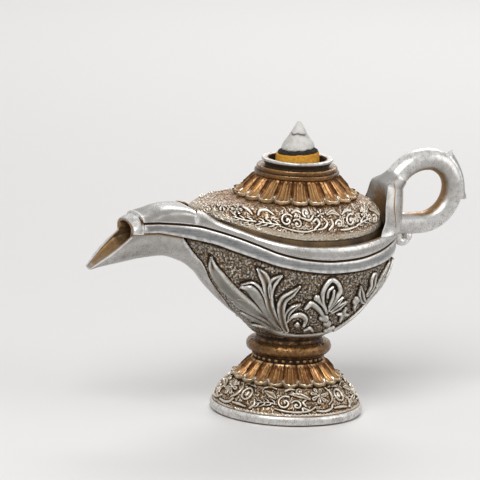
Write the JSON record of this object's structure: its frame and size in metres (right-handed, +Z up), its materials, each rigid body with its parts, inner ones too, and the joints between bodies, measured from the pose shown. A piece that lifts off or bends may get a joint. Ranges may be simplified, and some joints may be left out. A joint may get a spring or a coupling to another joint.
{
  "type": "incense burner",
  "caption": "Genie-lamp incense burner: footed boat-shaped bowl with open spout and loop handle, lift-off lid, and a cone of incense in a cup on the lid.",
  "frame": {"origin": "middle of the foot pad's flat underside, on the surface the burner stands on", "axes": "+Z up, spout towards -X, handle towards +X, Y across"},
  "size_m": [0.1325, 0.054, 0.097],
  "materials": {
    "silver": "satin",
    "grey_silver": "satin",
    "pewter": "satin",
    "bright_relief": "satin",
    "champagne": "satin",
    "bronze": "satin",
    "dark_bronze": "satin",
    "felt": "matte",
    "incense": "matte",
    "char": "matte",
    "ash": "matte"
  },
  "bodies": {
    "lamp": {"foot_pad": "felt", "foot_base_ring": "silver", "foot_body": "pewter", "foot_petal_collar": "bronze", "foot_bead_ring": "dark_bronze", "foot_torus_ring": "bronze", "neck_collar": "dark_bronze", "bowl_shell": "pewter", "spout_keel": "silver", "rim_lower_band": "grey_silver", "rim_upper_band": "silver", "spout_cover": "silver", "spout_hood": "silver", "handle_shield": "silver", "handle_loop": "silver", "handle_leaf": "bright_relief", "handle_scroll": "silver", "leaf_relief_near": "bright_relief", "leaf_relief_far": "bright_relief"},
    "lid": {"lid_dome": "champagne", "lid_skirt": "dark_bronze", "lid_petal_collar": "bronze", "lid_step_ring": "dark_bronze", "lid_cup": "silver"},
    "incense": {"incense_cone": "incense", "incense_char": "char", "incense_ash": "ash"}
  },
  "joints": [
    {"name": "lid_lift", "type": "slide", "parent": "lamp", "child": "lid", "axis": [0, 0, 1], "range_m": [0, 0.05]},
    {"name": "cone_lift", "type": "slide", "parent": "lid", "child": "incense", "axis": [0, 0, 1], "range_m": [0, 0.03]}
  ]
}
